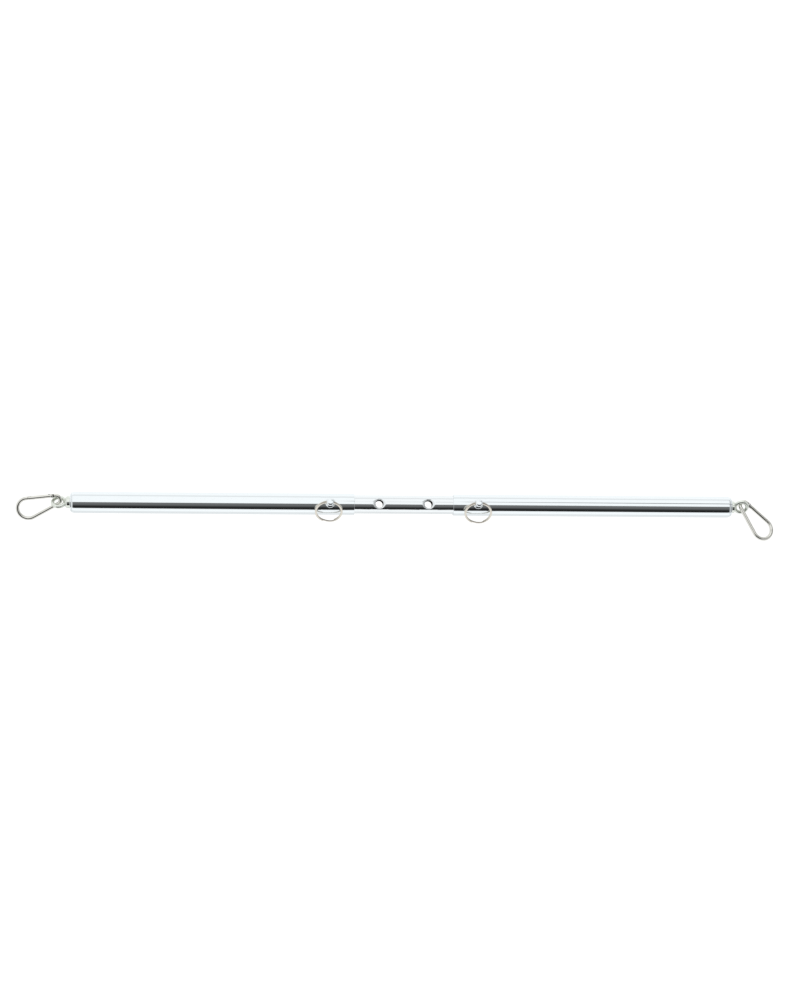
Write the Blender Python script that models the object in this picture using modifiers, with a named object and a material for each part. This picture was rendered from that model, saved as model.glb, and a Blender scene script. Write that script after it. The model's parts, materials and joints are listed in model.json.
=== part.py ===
"""Adjustable spreader bar: two outer tubes that slide on a drilled inner tube.

A spring plunger on each outer tube locks into one of the inner tube's holes. Each far
end carries a swivelling eye with a pear-shaped snap hook. The bar lies along X with its
middle at the origin, and the plungers stand up along +Z.
"""

from math import asin, cos, degrees, pi, radians, sin

import bmesh
import bpy
from mathutils import Euler, Matrix, Vector

MM = 0.001
SIDES = {"left": -1, "right": 1}

# telescoping tubes
OUTER_RADIUS = 11.0 * MM
OUTER_BORE = 9.8 * MM
INNER_RADIUS = 9.5 * MM
INNER_BORE = 8.3 * MM
INNER_LENGTH = 400 * MM
HOLE_PITCH = 50 * MM
HOLE_RADIUS = 4.0 * MM
HOLES_A_SIDE = 4
OPEN_END = 50.3 * MM
FAR_END = 335 * MM
GAP = 0.3 * MM
FIT = 0.1 * MM
SEAT = 0.05 * MM
EDGE = 0.4 * MM

# spring plunger, with radii about the Z axis and heights above the tube's axis
PLUNGER_X = 1.5 * HOLE_PITCH
PLUNGER_DRAWN = 2.1 * MM
NOSE_RADIUS = 3.7 * MM
NOSE_LENGTH = 3.2 * MM
NOSE_TIP = 7.7 * MM + PLUNGER_DRAWN
NOSE_CHAMFER = 0.6 * MM
STEM_RADIUS = 1.5 * MM
BOSS_RADIUS = 5.1 * MM
BOSS_TOP = 16.0 * MM
BOSS_ROOF = 1.0 * MM
KNOB_BOTTOM = BOSS_TOP + PLUNGER_DRAWN + GAP
KNOB_RADIUS = 3.9 * MM
KNOB_HEIGHT = 7.0 * MM
DOME_HEIGHT = 2.6 * MM
RING_HOLE_RADIUS = 2.3 * MM
RING_HOLE_HEIGHT = KNOB_BOTTOM + 3.6 * MM
STEM_IN_KNOB = 0.8 * MM
SPRING_WIRE = 0.5 * MM
SPRING_RADIUS = 2.6 * MM

# split pull ring: two flat turns of wire side by side
RING_OUTER_RADIUS = 14.0 * MM
RING_WIRE_WIDTH = 2.0 * MM
RING_WIRE_THICKNESS = 0.95 * MM
RING_TURN_PITCH = 1.05 * MM
RING_WIRE_OFFSET = 0.3 * MM
RING_LEAN = {"left": 47, "right": 45}
RING_SWAY = {"left": -6.5, "right": 0}

# end plug and swivelling eye
PLUG_LENGTH = 10.0 * MM
FLANGE_RADIUS = 10.9 * MM
FLANGE_THICKNESS = 1.5 * MM
FLANGE_RECESS = 1.0 * MM
PLUG_BORE = 2.6 * MM
PLUG_CHAMFER = 0.5 * MM
COLLAR_WELL = 0.6 * MM
SHANK_RADIUS = 2.3 * MM
SHANK_STICKS_OUT = 1.0 * MM
COLLAR_RADIUS = 6.2 * MM
COLLAR_HEIGHT = 3.0 * MM
NECK_RADIUS = 3.0 * MM
NUT_RADIUS = 5.2 * MM
NUT_LENGTH = 3.0 * MM
EYE_X = {"left": 348.3 * MM, "right": 347.3 * MM}
EYE_RADIUS = 6.1 * MM
EYE_WIRE = 3.8 * MM
EYE_ROLL = {"left": -35.3, "right": 38.9}

# pear-shaped snap hook, laid out in its own plane with its narrow end at the origin
HOOK_LENGTH = 49 * MM
HOOK_WIDTH = 25 * MM
HOOK_WIRE = 3.8 * MM
NARROW_RADIUS = 4.6 * MM
WIDE_RADIUS = (HOOK_WIDTH - HOOK_WIRE) / 2
WIDE_X = HOOK_LENGTH - HOOK_WIRE - NARROW_RADIUS - WIDE_RADIUS
FLARE = asin((WIDE_RADIUS - NARROW_RADIUS) / WIDE_X)
LEG_LENGTH = WIDE_X * cos(FLARE)
TONGUE_THICKNESS = 1.6 * MM
SLOT_WIDTH = 2.2 * MM
HINGE_AT = 3.6 * MM
HINGE_TONGUE_START = 1.0 * MM
HINGE_TONGUE_END = 5.3 * MM
HINGE_SLOT_END = 3.1 * MM
NOSE_TONGUE_END = LEG_LENGTH - 1.8 * MM
NOSE_TONGUE_START = NOSE_TONGUE_END - 2.9 * MM
NOSE_SLOT_START = NOSE_TONGUE_START - EDGE
GATE_END = NOSE_TONGUE_END - GAP
NOSE_LIP = 1.0 * MM
RIVET_RADIUS = 0.85 * MM
RIVET_HEAD_RADIUS = 1.25 * MM
RIVET_HEAD_HEIGHT = 0.4 * MM
GATE_SPRING_BORE = 1.15 * MM
GATE_SPRING_RADIUS = 0.8 * MM
GATE_SPRING_WIRE = 0.3 * MM
GATE_SPRING_START = 2.9 * MM
GATE_SPRING_END = 8.7 * MM

# how each hook lies: a point on its swing axis, its narrow end's centre, and its
# bank, dip and heading in degrees
HOOK_SWING = {
    "left": Vector((-353.8, -1.8, 1.4)) * MM,
    "right": Vector((353.2, 1.0, 0.7)) * MM,
}
HOOK_PLACE = {
    "left": Vector((-351.23, 2.23, 0.21)) * MM,
    "right": Vector((350.92, 1.27, -0.9)) * MM,
}
HOOK_TURN = {"left": (158.4, 9.8, -163.6), "right": (-18.5, 2.6, -51.3)}

TUBE_SIDES = 40
ROUND_SIDES = 20
SMALL_SIDES = 12


def clear_scene():
    for thing in list(bpy.data.objects):
        bpy.data.objects.remove(thing, do_unlink=True)


def new_collection(name):
    group = bpy.data.collections.new(name)
    bpy.context.scene.collection.children.link(group)
    return group


def new_material(name, colour, roughness, metallic):
    material = bpy.data.materials.new(name)
    material.use_nodes = True
    shader = material.node_tree.nodes["Principled BSDF"]
    shader.inputs["Base Color"].default_value = (*colour, 1)
    shader.inputs["Roughness"].default_value = roughness
    shader.inputs["Metallic"].default_value = metallic
    return material


clear_scene()
PARTS = new_collection("spreader_bar")
CUTTERS = new_collection("cutters")


def new_object(name, data, group=PARTS):
    piece = bpy.data.objects.new(name, data)
    group.objects.link(piece)
    return piece


def hold(piece, parent):
    """Parents a piece to an empty, and keeps the place that the piece has in the empty's own frame."""
    piece.parent = parent
    return piece


def empty(name, location, parent=None, turn=(0, 0, 0)):
    marker = new_object(name, None)
    marker.location = location
    marker.rotation_euler = Euler([radians(angle) for angle in turn])
    marker.parent = parent
    return marker


def cylinder(name, radius, start, end, axis="Z", sides=ROUND_SIDES, centre=(0, 0, 0)):
    """A cylinder along X or Z, between two coordinates on that axis."""
    mesh = bpy.data.meshes.new(name)
    bm = bmesh.new()
    bmesh.ops.create_cone(
        bm, cap_ends=True, segments=sides, radius1=radius, radius2=radius, depth=end - start
    )
    bmesh.ops.translate(bm, vec=(0, 0, (start + end) / 2), verts=bm.verts)
    if axis == "X":
        bmesh.ops.transform(bm, matrix=Matrix.Rotation(pi / 2, 4, "Y"), verts=bm.verts)
    bmesh.ops.translate(bm, vec=centre, verts=bm.verts)
    bm.to_mesh(mesh)
    bm.free()
    return new_object(name, mesh)


def tube_round(name, radius, start, end):
    """A cylinder along X with one flat of its outline straight down, so that the bar lies still."""
    solid = cylinder(name, radius, start, end, "X", TUBE_SIDES)
    solid.data.transform(Matrix.Rotation(pi / TUBE_SIDES, 4, "X"))
    return solid


def block(name, low, high):
    """A box between two corners."""
    mesh = bpy.data.meshes.new(name)
    bm = bmesh.new()
    bmesh.ops.create_cube(bm, size=1)
    size = Vector(high) - Vector(low)
    bmesh.ops.scale(bm, vec=size, verts=bm.verts)
    bmesh.ops.translate(bm, vec=(Vector(low) + Vector(high)) / 2, verts=bm.verts)
    bm.to_mesh(mesh)
    bm.free()
    return new_object(name, mesh)


def turned(name, profile, sides=ROUND_SIDES):
    """A profile of (radius, height) points, top to bottom, turned about Z."""
    mesh = bpy.data.meshes.new(name)
    points = [(radius, 0, height) for radius, height in profile]
    mesh.from_pydata(points, [(i, i + 1) for i in range(len(points) - 1)], [])
    piece = new_object(name, mesh)
    screw = piece.modifiers.new("turn", "SCREW")
    screw.axis = "Z"
    screw.steps = sides
    screw.render_steps = sides
    screw.use_merge_vertices = True
    screw.merge_threshold = 0.00001
    screw.use_smooth_shade = False
    return piece


def combine(piece, tool, operation="DIFFERENCE"):
    """Cuts a piece with a tool, or joins the tool to it."""
    for group in list(tool.users_collection):
        group.objects.unlink(tool)
    CUTTERS.objects.link(tool)
    tool.hide_render = True
    tool.display_type = "WIRE"
    step = piece.modifiers.new(tool.name, "BOOLEAN")
    step.operation = operation
    step.solver = "EXACT"
    step.object = tool
    return piece


def as_mesh(curve_object):
    """Makes a curve object a mesh with its end caps joined on, in the same place."""
    bpy.context.view_layer.update()
    evaluated = curve_object.evaluated_get(bpy.context.evaluated_depsgraph_get())
    mesh = bpy.data.meshes.new_from_object(evaluated)
    bm = bmesh.new()
    bm.from_mesh(mesh)
    bmesh.ops.remove_doubles(bm, verts=bm.verts, dist=0.000001)
    bmesh.ops.recalc_face_normals(bm, faces=bm.faces)
    bm.to_mesh(mesh)
    bm.free()
    name = curve_object.name
    place = curve_object.matrix_world.copy()
    bpy.data.objects.remove(curve_object, do_unlink=True)
    piece = new_object(name, mesh)
    piece.matrix_world = place
    return piece


def wire(name, points, radius, resolution=2):
    """A round wire along points, with closed ends, as a mesh."""
    curve = bpy.data.curves.new(name, "CURVE")
    curve.dimensions = "3D"
    curve.bevel_depth = radius
    curve.bevel_resolution = resolution
    curve.use_fill_caps = True
    spline = curve.splines.new("POLY")
    spline.points.add(len(points) - 1)
    for point, place in zip(spline.points, points):
        point.co = (*place, 1)
    return as_mesh(new_object(name, curve))


def arc(centre, radius, start, end, steps):
    """Points on an arc in the XY plane."""
    angles = [start + (end - start) * i / steps for i in range(steps + 1)]
    return [Vector((centre[0] + radius * cos(a), centre[1] + radius * sin(a), 0)) for a in angles]


def coil(radius, start, end, turns, steps=12):
    """Points on a helix about Z."""
    count = int(turns * steps)
    heights = [start + (end - start) * i / count for i in range(count + 1)]
    return [
        Vector((radius * cos(2 * pi * i / steps), radius * sin(2 * pi * i / steps), height))
        for i, height in enumerate(heights)
    ]


def paint(piece, material):
    piece.data.materials.clear()
    piece.data.materials.append(material)


# tubes


def make_inner_tube():
    half = INNER_LENGTH / 2
    tube = tube_round("inner_tube", INNER_RADIUS, -half, half)
    bore = tube_round("inner_tube_bore", INNER_BORE, -half - GAP, half + GAP)
    combine(tube, bore)
    for i in range(-HOLES_A_SIDE, HOLES_A_SIDE):
        centre = ((i + 0.5) * HOLE_PITCH, 0, 0)
        reach = INNER_RADIUS + GAP
        combine(tube, cylinder(f"cross_hole_{i}", HOLE_RADIUS, -reach, reach, "Z", ROUND_SIDES, centre))
    return tube


def make_outer_tube(side, sign):
    ends = sorted((sign * OPEN_END, sign * FAR_END))
    tube = tube_round(f"{side}_outer_tube", OUTER_RADIUS, *ends)
    bore = tube_round(f"{side}_tube_bore", OUTER_BORE, ends[0] - GAP, ends[1] + GAP)
    combine(tube, bore)
    centre = (sign * PLUNGER_X, 0, 0)
    hole = cylinder(f"{side}_nose_hole", HOLE_RADIUS, 0, BOSS_TOP, "Z", ROUND_SIDES, centre)
    return combine(tube, hole)


# spring plungers


def make_boss(side, spot):
    """A round housing with a roof, hollowed to sit on the tube like a saddle."""
    bore_top = BOSS_TOP - BOSS_ROOF
    boss = turned(
        f"{side}_plunger_boss",
        [
            (STEM_RADIUS + GAP, BOSS_TOP),
            (BOSS_RADIUS - EDGE, BOSS_TOP),
            (BOSS_RADIUS, BOSS_TOP - EDGE),
            (BOSS_RADIUS, INNER_RADIUS),
            (HOLE_RADIUS, INNER_RADIUS),
            (HOLE_RADIUS, bore_top),
            (STEM_RADIUS + GAP, bore_top),
            (STEM_RADIUS + GAP, BOSS_TOP),
        ],
    )
    hold(boss, spot)
    reach = 2 * BOSS_RADIUS
    saddle = tube_round(f"{side}_saddle", OUTER_RADIUS + SEAT, -reach, reach)
    hold(saddle, spot)
    return combine(boss, saddle)


def make_lock_pin(side, spot):
    nose_top = NOSE_TIP + NOSE_LENGTH
    pin = turned(
        f"{side}_lock_pin",
        [
            (0, KNOB_BOTTOM + STEM_IN_KNOB),
            (STEM_RADIUS, KNOB_BOTTOM + STEM_IN_KNOB),
            (STEM_RADIUS, nose_top),
            (NOSE_RADIUS, nose_top),
            (NOSE_RADIUS, NOSE_TIP + NOSE_CHAMFER),
            (NOSE_RADIUS - NOSE_CHAMFER, NOSE_TIP),
            (0, NOSE_TIP),
        ],
    )
    return hold(pin, spot)


def make_knob(side, spot):
    """A domed head with a blind hole for the stem below and a cross hole for the ring."""
    top = KNOB_BOTTOM + KNOB_HEIGHT
    dome_start = top - DOME_HEIGHT
    dome = [
        (KNOB_RADIUS * cos(a), dome_start + DOME_HEIGHT * sin(a))
        for a in [pi / 2 * i / 4 for i in range(4, -1, -1)]
    ]
    dome[0] = (0, top)
    stem_hole_top = KNOB_BOTTOM + STEM_IN_KNOB + FIT
    knob = turned(
        f"{side}_pull_knob",
        [
            *dome,
            (KNOB_RADIUS, KNOB_BOTTOM + EDGE),
            (KNOB_RADIUS - EDGE, KNOB_BOTTOM),
            (STEM_RADIUS + FIT, KNOB_BOTTOM),
            (STEM_RADIUS + FIT, stem_hole_top),
            (0, stem_hole_top),
        ],
    )
    hold(knob, spot)
    reach = 2 * KNOB_RADIUS
    centre = (0, 0, RING_HOLE_HEIGHT)
    hole = cylinder(f"{side}_ring_hole", RING_HOLE_RADIUS, -reach, reach, "X", SMALL_SIDES, centre)
    hold(hole, spot)
    return combine(knob, hole)


def make_plunger_spring(side, spot):
    start = NOSE_TIP + NOSE_LENGTH + SPRING_WIRE / 2 + SEAT
    end = BOSS_TOP - BOSS_ROOF - SPRING_WIRE / 2 - SEAT
    spring = wire(f"{side}_plunger_spring", coil(SPRING_RADIUS, start, end, 2), SPRING_WIRE / 2, 1)
    return hold(spring, spot)


def ring_turn_height(turn):
    """Height of the ring's wire off the ring's plane, with one quick step between its two turns."""
    step = min(max((turn - 0.93) / 0.14, 0), 1)
    return RING_TURN_PITCH * (step * step * (3 - 2 * step) - 0.5)


def make_pull_ring(side, pivot):
    """Two flat turns of wire, hung from the hole in the knob, in the pivot's XY plane."""
    outline = bpy.data.curves.new(f"{side}_ring_section", "CURVE")
    outline.dimensions = "2D"
    section = outline.splines.new("POLY")
    section.points.add(3)
    half_width = RING_WIRE_WIDTH / 2
    half_thickness = RING_WIRE_THICKNESS / 2
    corners = [(-1, -1), (1, -1), (1, 1), (-1, 1)]
    for point, (across, along) in zip(section.points, corners):
        point.co = (across * half_width, along * half_thickness, 0, 1)
    section.use_cyclic_u = True
    outline_object = new_object(f"{side}_ring_section", outline, CUTTERS)

    radius = RING_OUTER_RADIUS - half_width
    sway = radians(RING_SWAY[side])
    centre_x = (radius - RING_WIRE_OFFSET) * sin(sway)
    centre_y = (RING_WIRE_OFFSET - radius) * cos(sway)
    curve = bpy.data.curves.new(f"{side}_pull_ring", "CURVE")
    curve.dimensions = "3D"
    curve.bevel_mode = "OBJECT"
    curve.bevel_object = outline_object
    curve.use_fill_caps = True
    curve.twist_mode = "Z_UP"
    spline = curve.splines.new("POLY")
    first_turn, last_turn, steps = 0.07, 1.93, 72
    spline.points.add(steps)
    for i, point in enumerate(spline.points):
        turn = first_turn + (last_turn - first_turn) * i / steps
        angle = 2 * pi * turn - pi / 2
        place = (centre_x + radius * cos(angle), centre_y + radius * sin(angle), ring_turn_height(turn))
        point.co = (*place, 1)
    ring = as_mesh(new_object(f"{side}_pull_ring", curve))
    bpy.data.objects.remove(outline_object, do_unlink=True)
    return hold(ring, pivot)


# ends


def make_end_plug(side, spot):
    """Heights run outwards from the tube's far end."""
    face = GAP + FLANGE_THICKNESS
    recess_radius = COLLAR_RADIUS + COLLAR_WELL
    plug = turned(
        f"{side}_end_plug",
        [
            (PLUG_BORE, face - FLANGE_RECESS),
            (recess_radius, face - FLANGE_RECESS),
            (recess_radius, face),
            (FLANGE_RADIUS - EDGE, face),
            (FLANGE_RADIUS, face - EDGE),
            (FLANGE_RADIUS, GAP),
            (OUTER_BORE - GAP, GAP),
            (OUTER_BORE - GAP, PLUG_CHAMFER - PLUG_LENGTH),
            (OUTER_BORE - GAP - PLUG_CHAMFER, -PLUG_LENGTH),
            (PLUG_BORE, -PLUG_LENGTH),
            (PLUG_BORE, face - FLANGE_RECESS),
        ],
        TUBE_SIDES,
    )
    return hold(plug, spot)


def make_eye(side, spot, swivel):
    """A round eye on a necked shank that turns in the end plug."""
    face = GAP + FLANGE_THICKNESS
    collar_base = face - FLANGE_RECESS + GAP
    shank_end = -PLUG_LENGTH - NUT_LENGTH - SHANK_STICKS_OUT
    eye_height = EYE_X[side] - FAR_END
    neck_top = eye_height - EYE_RADIUS
    shoulder_start = collar_base + COLLAR_HEIGHT
    shoulder_turns = [pi / 2 * i / 4 for i in range(4, -1, -1)]
    shoulder = [
        (
            NECK_RADIUS + (COLLAR_RADIUS - NECK_RADIUS) * cos(turn),
            shoulder_start + (neck_top - shoulder_start) * sin(turn),
        )
        for turn in shoulder_turns
    ]
    eye = turned(
        f"{side}_swivel_eye",
        [
            (0, neck_top),
            *shoulder,
            (COLLAR_RADIUS, collar_base),
            (SHANK_RADIUS, collar_base),
            (SHANK_RADIUS, shank_end),
            (0, shank_end),
        ],
    )
    hold(eye, spot)
    bpy.ops.mesh.primitive_torus_add(
        major_radius=EYE_RADIUS, minor_radius=EYE_WIRE / 2, major_segments=28, minor_segments=10
    )
    ring = bpy.context.object
    ring.name = f"{side}_eye_ring"
    hold(ring, swivel)
    combine(eye, ring, "UNION")
    return eye


def make_eye_nut(side, spot):
    nut = cylinder(
        f"{side}_eye_nut", NUT_RADIUS, -PLUG_LENGTH - GAP - NUT_LENGTH, -PLUG_LENGTH - GAP, "Z", 6
    )
    hold(nut, spot)
    reach = PLUG_LENGTH + 2 * NUT_LENGTH
    bore = cylinder(f"{side}_nut_bore", SHANK_RADIUS + 2 * FIT, -reach, 0)
    hold(bore, spot)
    return combine(nut, bore)


# snap hooks


def leg_point(along, sign=1):
    """A point on the gate's leg (sign 1) or the spine's (-1), measured from the narrow end."""
    start = Vector((-NARROW_RADIUS * sin(FLARE), sign * NARROW_RADIUS * cos(FLARE), 0))
    return start + along * Vector((cos(FLARE), sign * sin(FLARE), 0))


def hook_centreline():
    """From the nose round the wide end, along the spine and round the narrow end to the hinge."""
    quarter = pi / 2 + FLARE
    wide = arc((WIDE_X, 0), WIDE_RADIUS, quarter, -quarter, 22)
    narrow = arc((0, 0), NARROW_RADIUS, -quarter, quarter - 2 * pi, 12)
    return [leg_point(NOSE_TONGUE_START), *wide, *narrow, leg_point(HINGE_TONGUE_END)]


def make_hook_body(side, lie, hinge):
    hook = wire(f"{side}_hook_body", hook_centreline(), HOOK_WIRE / 2, 3)
    hold(hook, lie)
    tall = HOOK_WIRE
    half = TONGUE_THICKNESS / 2
    spans = {
        "hinge": (HINGE_TONGUE_START - HINGE_AT, HINGE_TONGUE_END - HINGE_AT + GAP),
        "nose": (NOSE_TONGUE_START - HINGE_AT - GAP, NOSE_TONGUE_END - HINGE_AT),
    }
    for name, (start, end) in spans.items():
        for level in (-1, 1):
            low, high = sorted((level * half, level * tall))
            cutter = block(f"{side}_{name}_flat_{level}", (start, -tall, low), (end, tall, high))
            combine(hook, hold(cutter, hinge))
    lip = block(
        f"{side}_nose_trim",
        (spans["nose"][0], -tall, -tall),
        (spans["nose"][1] - FIT, NOSE_LIP + GAP - HOOK_WIRE / 2, tall),
    )
    combine(hook, hold(lip, hinge))
    bore = cylinder(f"{side}_tongue_bore", RIVET_RADIUS + FIT, -tall, tall, sides=SMALL_SIDES)
    return combine(hook, hold(bore, hinge))


def make_gate(side, hinge):
    """A round bar turned about its length, slotted over the hook's two tongues."""
    radius = HOOK_WIRE / 2
    length = GATE_END - HINGE_AT
    steps = 5
    round_end = [
        (radius * sin(pi / 2 * i / steps), -radius * cos(pi / 2 * i / steps)) for i in range(steps, -1, -1)
    ]
    round_end[-1] = (0, -radius)
    tip = [(0, length), (radius - GAP, length), (radius, length - GAP)]
    gate = turned(f"{side}_hook_gate", [*tip, *round_end], 16)
    gate.rotation_euler = (0, pi / 2, 0)
    hold(gate, hinge)
    wide = HOOK_WIRE
    half = SLOT_WIDTH / 2
    hinge_slot = block(f"{side}_hinge_slot", (-wide, -wide, -half), (HINGE_SLOT_END, wide, half))
    nose_start = NOSE_SLOT_START - HINGE_AT
    nose_slot = block(
        f"{side}_nose_slot", (nose_start, NOSE_LIP - radius, -half), (length + GAP, wide, half)
    )
    spring_end = GATE_SPRING_END + GAP
    spring_bore = cylinder(f"{side}_spring_bore", GATE_SPRING_BORE, 0, spring_end, "X", SMALL_SIDES)
    rivet_bore = cylinder(
        f"{side}_gate_bore", RIVET_RADIUS + FIT, -wide, wide, sides=SMALL_SIDES
    )
    for cutter in (hinge_slot, nose_slot, spring_bore, rivet_bore):
        combine(gate, hold(cutter, hinge))
    return gate


def make_rivet(side, hinge):
    seat = HOOK_WIRE / 2 + SEAT
    half = [
        (0, seat + RIVET_HEAD_HEIGHT),
        (RIVET_HEAD_RADIUS - EDGE, seat + RIVET_HEAD_HEIGHT - SEAT),
        (RIVET_HEAD_RADIUS, seat + FIT),
        (RIVET_HEAD_RADIUS, seat),
        (RIVET_RADIUS, seat),
    ]
    profile = half + [(radius, -height) for radius, height in reversed(half)]
    return hold(turned(f"{side}_gate_rivet", profile, SMALL_SIDES), hinge)


def make_gate_spring(side, hinge):
    points = [
        Vector((point.z, point.x, point.y))
        for point in coil(GATE_SPRING_RADIUS, GATE_SPRING_START, GATE_SPRING_END, 5, 8)
    ]
    return hold(wire(f"{side}_gate_spring", points, GATE_SPRING_WIRE / 2, 0), hinge)


def make_side(side, sign, metals):
    """Everything that one end of the bar carries, on empties at its joints."""
    plunger = empty(f"{side}_plunger_axis", (sign * PLUNGER_X, 0, 0))
    ring_pivot = empty(
        f"{side}_ring_axis", (sign * PLUNGER_X, 0, RING_HOLE_HEIGHT), turn=(RING_LEAN[side], 0, 0)
    )
    far_end = empty(f"{side}_far_end", (sign * FAR_END, 0, 0), turn=(0, sign * 90, 0))
    swivel = empty(f"{side}_eye_axis", (sign * EYE_X[side], 0, 0), turn=(EYE_ROLL[side], 0, 0))
    swing = empty(f"{side}_hook_axis", HOOK_SWING[side])
    lie = empty(f"{side}_hook_lie", HOOK_PLACE[side] - HOOK_SWING[side], swing, HOOK_TURN[side])
    hinge = empty(f"{side}_gate_axis", leg_point(HINGE_AT), lie, (0, 0, degrees(FLARE)))

    paint(make_outer_tube(side, sign), metals["tube"])
    paint(make_boss(side, plunger), metals["tube"])
    paint(make_lock_pin(side, plunger), metals["steel"])
    paint(make_knob(side, plunger), metals["tube"])
    paint(make_plunger_spring(side, plunger), metals["steel"])
    paint(make_pull_ring(side, ring_pivot), metals["nickel"])
    paint(make_end_plug(side, far_end), metals["tube"])
    paint(make_eye(side, far_end, swivel), metals["zinc"])
    paint(make_eye_nut(side, far_end), metals["steel"])
    paint(make_hook_body(side, lie, hinge), metals["nickel"])
    paint(make_gate(side, hinge), metals["nickel"])
    paint(make_rivet(side, hinge), metals["steel"])
    paint(make_gate_spring(side, hinge), metals["steel"])


def main():
    metals = {
        "tube": new_material("polished_tube", (0.86, 0.87, 0.88), 0.08, 1),
        "inner": new_material("polished_inner_tube", (0.84, 0.85, 0.86), 0.1, 1),
        "nickel": new_material("nickel_plate", (0.72, 0.69, 0.63), 0.16, 1),
        "zinc": new_material("zinc_plate", (0.66, 0.69, 0.66), 0.24, 1),
        "steel": new_material("plain_steel", (0.6, 0.6, 0.6), 0.3, 1),
    }
    paint(make_inner_tube(), metals["inner"])
    for side, sign in SIDES.items():
        make_side(side, sign, metals)
    bpy.context.view_layer.update()


main()
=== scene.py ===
"""The looks of the adjustable spreader bar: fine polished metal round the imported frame."""

import json
from math import asin, cos, pi, radians, sin, sqrt

import bmesh
import bpy
from mathutils import Euler, Matrix, Vector


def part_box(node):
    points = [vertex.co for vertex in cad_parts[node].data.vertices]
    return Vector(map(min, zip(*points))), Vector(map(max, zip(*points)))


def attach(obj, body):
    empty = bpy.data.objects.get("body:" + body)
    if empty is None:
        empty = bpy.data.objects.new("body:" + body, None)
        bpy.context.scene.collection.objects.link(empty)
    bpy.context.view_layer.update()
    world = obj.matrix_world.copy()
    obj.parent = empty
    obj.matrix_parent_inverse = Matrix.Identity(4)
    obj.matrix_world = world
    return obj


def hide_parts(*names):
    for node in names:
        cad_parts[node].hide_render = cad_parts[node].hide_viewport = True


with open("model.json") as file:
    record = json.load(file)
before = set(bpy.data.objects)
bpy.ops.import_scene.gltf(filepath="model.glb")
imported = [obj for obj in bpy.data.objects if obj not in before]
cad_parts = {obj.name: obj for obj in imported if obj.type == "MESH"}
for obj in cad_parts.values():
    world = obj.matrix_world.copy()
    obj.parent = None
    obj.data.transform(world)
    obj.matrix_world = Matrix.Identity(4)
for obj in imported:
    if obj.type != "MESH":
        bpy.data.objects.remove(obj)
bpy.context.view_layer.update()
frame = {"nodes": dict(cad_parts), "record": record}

MM = 0.001
SIDES = {"left": -1, "right": 1}

# sizes that the frame's solids have
OUTER_RADIUS, OUTER_BORE = 11.0 * MM, 9.8 * MM
INNER_RADIUS, INNER_BORE = 9.5 * MM, 8.3 * MM
HOLE_PITCH, HOLE_RADIUS, HOLES_A_SIDE = 50 * MM, 4.0 * MM, 4
PLUNGER_X = 75 * MM
BOSS_RADIUS, BOSS_ROOF = 5.1 * MM, 1.0 * MM
STEM_RADIUS = 1.5 * MM
KNOB_RADIUS = 3.9 * MM
RING_HOLE_HEIGHT, RING_HOLE_RADIUS = 22.0 * MM, 2.3 * MM
RING_OUTER_RADIUS, RING_WIRE_WIDTH = 14.0 * MM, 2.0 * MM
RING_WIRE_THICKNESS, RING_TURN_PITCH = 0.95 * MM, 1.05 * MM
RING_LEAN = {"left": 47, "right": 45}
RING_SWAY = {"left": -6.5, "right": 0}
FAR_END = 335 * MM
EYE_X = {"left": 348.3 * MM, "right": 347.3 * MM}
EYE_RADIUS, EYE_WIRE = 6.1 * MM, 3.8 * MM
EYE_ROLL = {"left": -35.3, "right": 38.9}
NECK_RADIUS, COLLAR_RADIUS, SHANK_RADIUS = 3.0 * MM, 6.2 * MM, 2.3 * MM
HOOK_LENGTH, HOOK_WIDTH, HOOK_WIRE = 49 * MM, 25 * MM, 3.8 * MM
NARROW_RADIUS = 4.6 * MM
WIDE_RADIUS = (HOOK_WIDTH - HOOK_WIRE) / 2
WIDE_X = HOOK_LENGTH - HOOK_WIRE - NARROW_RADIUS - WIDE_RADIUS
FLARE = asin((WIDE_RADIUS - NARROW_RADIUS) / WIDE_X)
LEG_LENGTH = WIDE_X * cos(FLARE)
GATE_SLOPE = Vector((cos(FLARE), sin(FLARE), 0))
GATE_OUT = Vector((-sin(FLARE), cos(FLARE), 0))
GATE_FOOT = GATE_OUT * NARROW_RADIUS
HINGE_AT = 3.6 * MM
NOSE_TONGUE_END = LEG_LENGTH - 1.8 * MM
NOSE_TONGUE_START = NOSE_TONGUE_END - 2.9 * MM
HOOK_PLACE = {
    "left": Vector((-351.23, 2.23, 0.21)) * MM,
    "right": Vector((350.92, 1.27, -0.9)) * MM,
}
HOOK_TURN = {"left": (158.4, 9.8, -163.6), "right": (-18.5, 2.6, -51.3)}

# how finely the widest round pieces are divided, and the angles at which edges stay sharp
TUBE_SIDES = 128
TURNED_EDGE, CUT_EDGE = 40, 35


# meshes


def loft(rings, closed=False):
    """Points and faces of a skin over rings of the same number of points, capped unless closed."""
    count = len(rings[0])
    points = [tuple(point) for ring in rings for point in ring]
    faces = []
    spans = len(rings) if closed else len(rings) - 1
    for i in range(spans):
        low, high = i * count, (i + 1) % len(rings) * count
        for j in range(count):
            k = (j + 1) % count
            faces.append((low + j, low + k, high + k, high + j))
    if not closed:
        faces.append(tuple(reversed(range(count))))
        faces.append(tuple(range(len(points) - count, len(points))))
    return points, faces


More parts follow.
